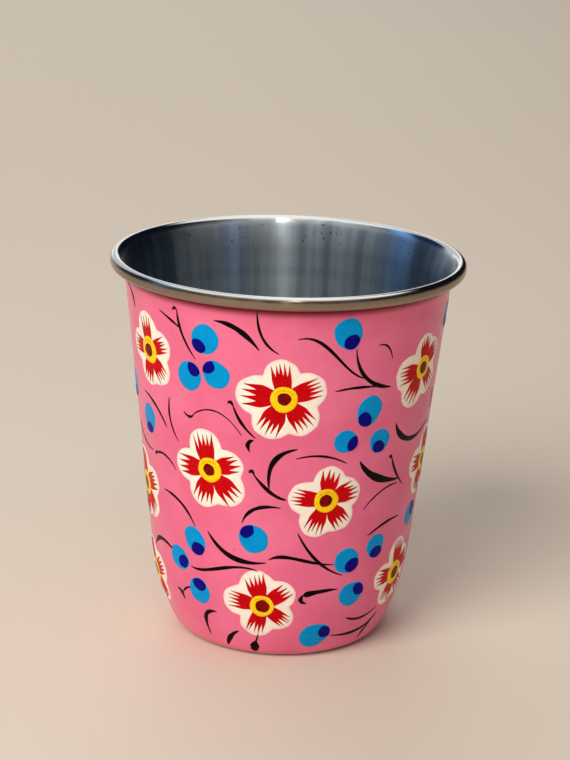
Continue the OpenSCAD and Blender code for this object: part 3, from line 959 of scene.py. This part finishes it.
@dataclass
class Blossoms:
    """The blossoms: cream petals, red combed strokes on them, yellow middles and dark eyes.

    Sizes are in mm. A comb's width and the reach of its tips are shares of its petal's reach. The
    width of its root is a share of its own width, or less where the next petal is near. A pair of
    numbers is a range: one that the hand varies in, or one of shares over which something sets in.
    """
    cup: CupShape
    petal_film: float = 0.085
    petal_round: float = 0.45
    petal_blend: float = 2.2
    petal_vary: Pair = (0.94, 1.06)
    petal_uneven: float = 0.007
    petal_waves: tuple[int, ...] = (4, 7, 11, 16)
    petal_hairs: float = 6.0
    petal_edge: Pair = (0.82, 1.0)
    petal_thin: float = 0.8
    stroke_film: float = 0.08
    tines: tuple[int, ...] = (4, 5, 5)
    comb_share: float = 0.47
    comb_vary: Pair = (0.92, 1.08)
    comb_root: float = 0.85
    comb_gap: float = 0.3
    comb_open: Pair = (-0.1, 0.45)
    comb_fan: float = 0.22
    comb_crown: float = 0.06
    root_r: float = 2.7
    tip_share: float = 0.9
    tip_vary: Pair = (-0.5, 0.3)
    fork: Pair = (0.46, 0.58)
    fork_round: float = 0.75
    tine_lap: float = 1.2
    tine_point: float = 0.95
    tine_lean: float = 0.22
    tine_thin: Pair = (0.6, 1.0)
    ring_film: float = 0.14
    ring_d: float = 6.4
    ring_uneven: float = 0.02
    ring_lap: float = 0.8
    eye_d: float = 3.4
    eye_uneven: float = 0.035
    round_vary: Pair = (0.9, 1.02)
    round_waves: tuple[int, ...] = (2, 3, 5)
    round_hairs: float = 2.0
    round_edge: Pair = (0.86, 1.0)
    round_thin: float = 0.7
    lap_in: Pair = (0.5, 0.66)
    lap_out: Pair = (0.7, 0.86)
    lap_up: Pair = (0.1, 0.7)
    slip_across: Pair = (-1, 1)
    slip_up: Pair = (-1.4, 0.4)

    def build(self) -> None:
        """Paints every blossom and hands its films over."""
        petals = Film(self.cup, dab_blank(segments=120, rings=16), "cream_petals", "petal_paint",
                      Paint.CREAM, Layer.ON_COAT, self.petal_film)
        strokes = Film(self.cup, stroke_blank(sides=5, stations=10), "red_strokes", "petal_stroke_paint",
                       Paint.RED, Layer.SECOND, self.stroke_film)
        rings = Film(self.cup, dab_blank(segments=48, rings=12), "yellow_middles", "blossom_ring_paint",
                     Paint.YELLOW, Layer.SECOND, self.ring_film)
        eyes = Film(self.cup, dab_blank(segments=48, rings=12), "maroon_eyes", "blossom_eye_paint",
                    Paint.MAROON, Layer.THIRD)
        for half in HALVES:
            for mark in BLOSSOMS:
                draw = random.Random(f"{mark.angle} {mark.height} {half}")
                place = (mark.angle + half, mark.height)
                self.paint_petals(petals, place, mark.petals, draw)
                for petal in mark.petals:
                    room = self.room_beside(petal, mark.petals)
                    self.paint_comb(strokes, place, petal, room, draw)
                self.paint_round(rings, place, self.ring_d, self.ring_uneven, self.ring_lap, draw)
                self.paint_round(eyes, place, self.eye_d, self.eye_uneven, 0.0, draw)
        for film in (petals, strokes, rings, eyes):
            film.dry()

    def paint_petals(self, film: Film, place: Pair, petals: Sequence[Pair], draw: random.Random) -> None:
        """Paints the five petals of one blossom as one dab with round lobes.

        Args:
            film: The film that it belongs to.
            place: Angle and height of the blossom's middle.
            petals: Each petal's bearing in degrees and its reach in mm.
            draw: The hand's unevenness.
        """
        bearing, share = film.blank.polar()
        total = np.ones_like(bearing)
        for direction, reach in petals:
            lobe_r = self.petal_round * reach * draw.uniform(*self.petal_vary)
            far = reach - lobe_r
            off = bearing - math.radians(direction)
            side = far * np.sin(off)
            edge = far * np.cos(off) + np.sqrt(np.clip(lobe_r ** 2 - side ** 2, 0, None))
            within = (np.cos(off) > 0) & (np.abs(side) < lobe_r)
            total += np.where(within, np.exp(self.petal_blend * edge), 0)
        uneven = wobble(bearing, draw, self.petal_uneven, self.petal_waves)
        away = share * np.log(total) / self.petal_blend * uneven
        thin = ease(share, *self.petal_edge) * self.petal_thin
        grain = away + 1j * self.petal_hairs * bearing
        film.add(place, away * np.exp(1j * bearing), grain, thin)

    def room_beside(self, petal: Pair, petals: Sequence[Pair]) -> float:
        """Gives the greatest width of a comb's root, in mm, beside the nearest other petal."""
        apart = min(abs(math.remainder(math.radians(other[0] - petal[0]), TURN))
                    for other in petals if other != petal)
        return self.ring_d * math.sin(apart / 2) - self.comb_gap

    def paint_comb(self, film: Film, place: Pair, petal: Pair, room: float, draw: random.Random) -> None:
        """Paints the red strokes of one petal, side by side at the root and parted at their tips.

        Args:
            film: The film that they belong to.
            place: Angle and height of the blossom's middle.
            petal: The petal's bearing in degrees and its reach in mm.
            room: The greatest width of the comb's root, in mm.
            draw: The hand's unevenness.
        """
        bearing, reach = petal
        count = draw.choice(self.tines)
        pitch = reach * self.comb_share * draw.uniform(*self.comb_vary) / count
        root = min(self.comb_root, room / (pitch * count))
        share, side, _ = film.blank.points.T
        spread = root + (1 - root) * ease(share, *self.comb_open)
        for i in range(count):
            row = i - (count - 1) / 2
            start = math.sqrt(self.root_r ** 2 - (row * pitch * root) ** 2)
            crown = 1 - self.comb_crown * (2 * row / count) ** 2
            tip = reach * self.tip_share * crown + draw.uniform(*self.tip_vary)
            fork = draw.uniform(*self.fork)
            taper = np.clip((share - fork) / (1 - fork), 0, 1) ** self.fork_round
            width = pitch * spread * self.tine_lap * (1 - self.tine_point * taper)
            lean = draw.uniform(-self.tine_lean, self.tine_lean) * share ** 2
            fan = 1 + self.comb_fan * taper
            off = row * pitch * spread * fan + lean + side * width / 2
            grain = start + (tip - start) * share + 1j * off
            spots = grain * cmath.rect(1, math.radians(bearing))
            film.add(place, spots, grain, ease(share, *self.tine_thin))

    def paint_round(self, film: Film, place: Pair, size: float, uneven: float, lap: float,
                    draw: random.Random) -> None:
        """Paints a yellow middle or a dark eye.

        Args:
            film: The film that it belongs to.
            place: Angle and height of the blossom's middle.
            size: Its diameter in mm.
            uneven: How far its outline strays, as a share of that.
            lap: How strongly the brush's lap shows, as an arc in its upper half.
            draw: The hand's unevenness.
        """
        bearing, share = film.blank.polar()
        radius = size * draw.uniform(*self.round_vary) / 2
        away = radius * share * wobble(bearing, draw, uneven, self.round_waves)
        slip = complex(draw.uniform(*self.slip_across), draw.uniform(*self.slip_up)) * uneven * size
        lap_ring = ease(share, *self.lap_in) * (1 - ease(share, *self.lap_out))
        lap_arc = lap_ring * ease(np.sin(bearing), *self.lap_up)
        thin = ease(share, *self.round_edge) * self.round_thin + lap * lap_arc
        grain = away + 1j * self.round_hairs * bearing
        film.add(place, away * np.exp(1j * bearing) + slip, grain, thin)


@dataclass
class Berries:
    """The light blue berries with their navy eyes, which stop at the berry's edge.

    Sizes are in mm, and a pair of numbers is a range that the hand varies in.
    """
    cup: CupShape
    taper: float = 0.1
    uneven: float = 0.02
    waves: tuple[int, ...] = (2, 3, 5)
    eye_d: float = 3.5
    eye_vary: Pair = (0.95, 1.1)
    eye_length: float = 1.1
    eye_width: float = 0.9
    eye_turn: Pair = (0.9, 2.2)
    eye_inset: float = 0.1
    edge: Pair = (0.86, 1.0)
    edge_thin: float = 0.6

    def build(self) -> None:
        """Paints every berry and hands its films over."""
        skins = Film(self.cup, dab_blank(segments=48, rings=12), "blue_berries", "berry_paint",
                     Paint.BLUE, Layer.ON_COAT)
        eyes = Film(self.cup, dab_blank(segments=48, rings=12), "navy_eyes", "berry_eye_paint",
                    Paint.NAVY, Layer.SECOND)
        for half in HALVES:
            for berry in BERRIES:
                draw = random.Random(f"{berry.angle} {berry.height} {half}")
                aside = math.radians(berry.eye[0] - berry.angle)
                across = self.cup.wall_r(berry.eye[1]) * math.sin(aside)
                eye = complex(across, berry.eye[1] - berry.height)
                along = eye / abs(eye)
                place = (berry.angle + half, berry.height)
                size = (berry.length, berry.width)
                self.paint(skins, place, self.egg(skins.blank, 0j, along, size, draw))
                across_eye = along * cmath.rect(1, draw.uniform(*self.eye_turn))
                eye_d = self.eye_d * draw.uniform(*self.eye_vary)
                eye_size = (eye_d * self.eye_length, eye_d * self.eye_width)
                dab = self.egg(eyes.blank, eye, across_eye, eye_size, draw)
                self.paint(eyes, place, self.keep_within(dab, along, size))
        for film in (skins, eyes):
            film.dry()

    def egg(self, blank: Blank, middle: complex, along: complex, size: Pair,
            draw: random.Random) -> np.ndarray:
        """Shapes one egg-shaped dab.

        Args:
            blank: The round blank.
            middle: Where in the drawing the dab is, across + up j, in mm.
            along: Direction of its length.
            size: Its length and width in mm.
            draw: The hand's unevenness.

        Returns:
            The places of the blank's points in the drawing, across + up j.
        """
        x, y, _ = blank.points.T
        uneven = wobble(blank.polar()[0], draw, self.uneven, self.waves)
        length = size[0] / 2 * x * uneven
        width = size[1] / 2 * y * (1 - self.taper * x) * uneven
        return middle + (length + 1j * width) * along

    def keep_within(self, dab: np.ndarray, along: complex, size: Pair) -> np.ndarray:
        """Draws the points of an eye in to the edge of its berry.

        Args:
            dab: The eye's points in the drawing, about the berry's middle.
            along: Direction of the berry's length.
            size: The berry's length and width in mm.

        Returns:
            The points, none outside the berry.
        """
        spot = dab / along
        length = spot.real / (size[0] / 2 - self.eye_inset)
        width = spot.imag / ((size[1] / 2 - self.eye_inset) * (1 - self.taper * np.clip(length, -1, 1)))
        return dab / np.maximum(np.hypot(length, width), 1)

    def paint(self, film: Film, place: Pair, dab: np.ndarray) -> None:
        """Paints one dab, drawn about an angle and a height on the wall."""
        thin = ease(film.blank.polar()[1], *self.edge) * self.edge_thin
        film.add(place, dab, dab, thin)


@dataclass
class Stems:
    """The black stems: strokes that swell and run out to fine tips. Sizes are in mm."""
    cup: CupShape
    thickness: float = 0.07
    tip: float = 0.2
    tip_thin: float = 0.35
    fullness: float = 0.8
    bleed: float = 0.1
    uneven: float = 0.1
    ripple: Pair = (9, 16)
    near: float = 0.01

    def build(self) -> None:
        """Paints every stem and hands the film over."""
        film = Film(self.cup, stroke_blank(sides=8, stations=40), "black_stems", "stem_paint",
                    Paint.BLACK, Layer.ON_COAT, self.thickness)
        for half in HALVES:
            for stem in STEMS:
                draw = random.Random(f"{stem.through} {half}")
                self.paint_stem(film, stem, half, draw)
        film.dry()

    @staticmethod
    def through(points: Sequence[complex], share: np.ndarray) -> np.ndarray:
        """Gives the curve that runs through all points, at shares of its length."""
        last = len(points) - 1
        spot = np.zeros(len(share), complex)
        for i, point in enumerate(points):
            weight = np.ones_like(share)
            for j in range(last + 1):
                if j != i:
                    weight = weight * (share * last - j) / (i - j)
            spot += point * weight
        return spot

    def paint_stem(self, film: Film, stem: Stem, half: float, draw: random.Random) -> None:
        """Paints one stem.

        Args:
            film: The film that it belongs to.
            stem: Its places, width and fullest point.
            half: Turn of the half of the pattern that it is in, in degrees.
            draw: The hand's unevenness.
        """
        middle = (stem.through[0][0] + stem.through[-1][0]) / 2
        points = [complex(self.cup.wall_r(height) * math.sin(math.radians(angle - middle)), height)
                  for angle, height in stem.through]
        station, side, _ = film.blank.points.T
        share = 0.5 - 0.5 * np.cos(math.pi * station)
        ahead = self.through(points, share + self.near) - self.through(points, share - self.near)
        rise = np.where(share < stem.peak, share / stem.peak, (1 - share) / (1 - stem.peak))
        swell = np.sin(math.pi / 2 * rise) ** self.fullness
        uneven = 1 + self.uneven * np.sin(share * draw.uniform(*self.ripple) + draw.uniform(0, TURN))
        width = self.tip + ((stem.width + self.bleed) * uneven - self.tip) * swell
        off = 1j * side * width / 2
        spots = self.through(points, share) + off * ahead / np.abs(ahead)
        grain = share * abs(points[-1] - points[0]) + off
        thin = 1 - ease(width, self.tip, self.tip + self.tip_thin)
        film.add((middle + half, 0.0), spots, grain, thin)


# The cup


@dataclass
class SteelCup:
    """The drawn, spun and rolled steel sheet.

    Its rim is uneven by a depth in mm, over a height in mm, in waves that each have their number
    round the rim, their share and their phase.
    """
    cup: CupShape
    steps: int = 192
    uneven: float = 0.12
    uneven_h: float = 12.0
    dip: float = 0.5
    waves: tuple[Triple, ...] = ((2, 1.0, 0.7), (5, 0.6, 2.1), (9, 0.4, 0.0))

    def build(self) -> None:
        """Spins the sheet, makes its rim a little uneven, and hands it over."""
        piece = turned("spun_cup", self.cup.sheet_outline(), self.steps)
        self.ease_rim(piece)
        hand_over(piece, SteelFinish().make(), "steel", "steel_cup")

    def ease_rim(self, piece: bpy.types.Object) -> None:
        """Draws the rim in here and there, by a tenth of a millimetre, as machine rolling leaves it."""
        places = np.array([vertex.co for vertex in piece.data.vertices])
        turn = np.arctan2(places[:, 1], places[:, 0])
        high = ease(places[:, 2] / MM, self.cup.height - self.uneven_h, self.cup.height)
        full = sum(share for _, share, _ in self.waves)
        wave = sum(share * np.sin(count * turn + phase) for count, share, phase in self.waves)
        depth = self.uneven * MM * high * (full + wave) / (2 * full)
        radius = np.hypot(places[:, 0], places[:, 1])
        shrink = 1 - depth / np.maximum(radius, MM)
        places[:, :2] *= shrink[:, None]
        places[:, 2] -= self.dip * depth
        piece.data.vertices.foreach_set("co", places.ravel())


@dataclass
class PinkCoat:
    """The pink ground coat on the wall, and the same coat under the floor."""
    cup: CupShape
    steps: int = 192

    def build(self) -> None:
        """Spins the coat, and dresses both coats in one finish."""
        finish = EnamelFinish().make()
        piece = turned("pink_coat", self.cup.coat_outline(), self.steps)
        hand_over(piece, finish, "pink_enamel", "enamel_coat")
        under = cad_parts["base_enamel"]
        under.data.materials.clear()
        under.data.materials.append(finish)
        log.info("base_enamel: the frame's own solid, dressed")


# Stage


@dataclass(frozen=True)
class Lamp:
    """A soft box: its place, width and power, its tint, and whether the steel mirrors it."""
    name: str
    place: Triple
    width: float
    watts: float
    tint: Triple
    mirrored: bool = False
    aim: Triple = (0.0, 0.0, 0.05)

    def hang(self) -> None:
        """Hangs the lamp."""
        light = bpy.data.lights.new(self.name, "AREA")
        light.shape = "DISK"
        light.size = self.width
        light.energy = self.watts
        light.color = self.tint
        lamp = bpy.data.objects.new(self.name, light)
        bpy.context.scene.collection.objects.link(lamp)
        lamp.visible_camera = False
        lamp.visible_glossy = self.mirrored
        lamp.location = self.place
        facing = Vector(self.aim) - Vector(self.place)
        lamp.rotation_euler = facing.to_track_quat("-Z", "Y").to_euler()


LAMPS = (
    Lamp("key", (-0.72, -1.08, 0.98), 1.1, 22.4, (1.0, 0.98, 0.95)),
    Lamp("window", (-0.45, 1.4, 1.3), 1.6, 9.0, (1.0, 0.98, 0.96)),
    Lamp("spark", (0.1, -0.95, 1.15), 0.16, 0.9, (1.0, 1.0, 0.98), mirrored=True),
)


@dataclass(frozen=True)
class Panel:
    """A panel of the surround, which the steel mirrors. Angles are in degrees.

    Its bearing is 0 towards -Y and grows towards +X. It reaches its spread to either side of that,
    and stands between two elevations. Its sides and foot are soft, and its top fades away.
    """
    bearing: float
    spread: float
    low: float
    high: float
    tone: Colour
    soft: float = 5.0
    fade: float = 8.0

    def cover(self, graph: Graph, bearing: Tone, rise: Tone) -> Tone:
        """Gives 1 where the panel is, in a direction's bearing and elevation in radians."""
        aside = graph.node("ShaderNodeMath", {"operation": "COSINE"},
                           {0: bearing - math.radians(self.bearing)})
        beside = graph.step(aside, math.cos(math.radians(self.spread + self.soft)),
                            math.cos(math.radians(self.spread)))
        above = graph.step(rise, math.radians(self.low - self.soft), math.radians(self.low))
        under = graph.step(rise, math.radians(self.high + self.fade), math.radians(self.high))
        return beside * above * under


PANELS = (
    Panel(0, 172, 1, 34, colour(10, 16, 30), soft=3.0, fade=20.0),
    Panel(104, 62, 1, 42, colour(8, 12, 24), soft=12.0, fade=12.0),
    Panel(0, 30, 8, 34, colour(38, 50, 62), soft=20.0, fade=20.0),
    Panel(44, 3, 5, 40, colour(76, 112, 156)),
    Panel(-1, 1.5, 5, 60, colour(244, 244, 236), soft=2.5),
    Panel(-20, 2, 5, 50, colour(166, 184, 194), soft=3.0),
    Panel(-40, 4, 5, 50, colour(158, 177, 190), soft=4.0),
    Panel(-62, 16, 5, 32, colour(92, 108, 118), soft=8.0, fade=16.0),
    Panel(-94, 6, 3, 44, colour(98, 166, 240), soft=5.0),
    Panel(-124, 14, 3, 24, colour(10, 40, 80), soft=8.0, fade=12.0),
    Panel(-156, 12, 3, 60, colour(190, 197, 202), soft=9.0),
    Panel(-163, 9, -4, 8, colour(250, 250, 250), soft=3.0, fade=3.0),
)


@dataclass(frozen=True)
class Studio:
    """A plain pale floor, a pale surround with panels in it, soft lamps and the camera."""
    lens: float = 103.2
    sensor: float = 36.0
    nearest: float = 0.01
    eye: Triple = (0.0, -0.5054, 0.2162)
    aim: Triple = (0.0, 0.0, 0.0619)
    roll: float = math.radians(1.747)
    floor_r: float = 4.0
    floor_sides: int = 96
    floor_rough: float = 0.6
    floor_tone: Colour = colour(228, 213, 194)
    far_tone: Colour = colour(253, 252, 249)
    fill: Colour = (0.28, 0.28, 0.29, 1.0)

    def build(self) -> None:
        """Sets the stage."""
        self.lay_floor()
        self.light_world()
        for lamp in LAMPS:
            lamp.hang()
        self.set_camera()
        bpy.context.scene.view_settings.view_transform = "Standard"

    def lay_floor(self) -> None:
        """Lays the floor."""
        deselect()
        bpy.ops.mesh.primitive_circle_add(vertices=self.floor_sides, radius=self.floor_r,
                                          fill_type="NGON")
        floor = bpy.context.object
        floor.name = "floor"
        material, graph = new_material("pale_floor")
        graph.surface(Base_Color=self.floor_tone, Roughness=self.floor_rough)
        floor.data.materials.append(material)

    def light_world(self) -> None:
        """Makes a pale surround, which the camera and the steel see, over a weaker even fill."""
        world = bpy.data.worlds.new("surround")
        world.use_nodes = True
        bpy.context.scene.world = world
        graph = Graph(world.node_tree)
        direction = graph.node("ShaderNodeTexCoord", output="Generated")
        x, y, z = (graph.axis(direction, name) for name in "XYZ")
        bearing = graph.node("ShaderNodeMath", {"operation": "ARCTAN2"}, {0: x, 1: 0 - y})
        rise = graph.node("ShaderNodeMath", {"operation": "ARCSINE"}, {0: z})
        shown: Tone | Colour = self.far_tone
        for panel in PANELS:
            shown = graph.mix(panel.cover(graph, bearing, rise), shown, panel.tone)
        camera, glossy, clear = (graph.node("ShaderNodeLightPath", output=f"Is {kind} Ray")
                                 for kind in ("Camera", "Glossy", "Transmission"))
        seen = graph.step(camera + glossy + clear, 0.0, 1.0)
        back = graph.node("ShaderNodeBackground", None, {"Color": graph.mix(seen, self.fill, shown)})
        graph.node("ShaderNodeOutputWorld", None, {"Surface": back})

    def set_camera(self) -> None:
        """Sets the camera where the cup was seen from, with its slight roll."""
        camera = bpy.data.cameras.new("camera")
        camera.lens = self.lens
        camera.sensor_width = self.sensor
        camera.clip_start = self.nearest
        seat = bpy.data.objects.new("camera", camera)
        bpy.context.scene.collection.objects.link(seat)
        ahead = (Vector(self.aim) - Vector(self.eye)).normalized()
        right = ahead.cross(Vector((0, 0, 1))).normalized()
        over = right.cross(ahead)
        rolled_right = math.cos(self.roll) * right + math.sin(self.roll) * over
        rolled_over = math.cos(self.roll) * over - math.sin(self.roll) * right
        turn = Matrix((rolled_right, rolled_over, -ahead)).transposed()
        seat.matrix_world = Matrix.Translation(self.eye) @ turn.to_4x4()
        bpy.context.scene.camera = seat


def main() -> None:
    """Builds the tumbler, sized from the frame's steel cup, and its stage."""
    logging.basicConfig(level=logging.INFO, format="%(name)s: %(message)s")
    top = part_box("steel_cup")[1] / MM
    cup = CupShape(height=top.z, rim_r=top.x)
    for part in (SteelCup(cup), PinkCoat(cup), Blossoms(cup), Berries(cup), Stems(cup), Studio()):
        part.build()


if __name__ == "__main__":
    main()
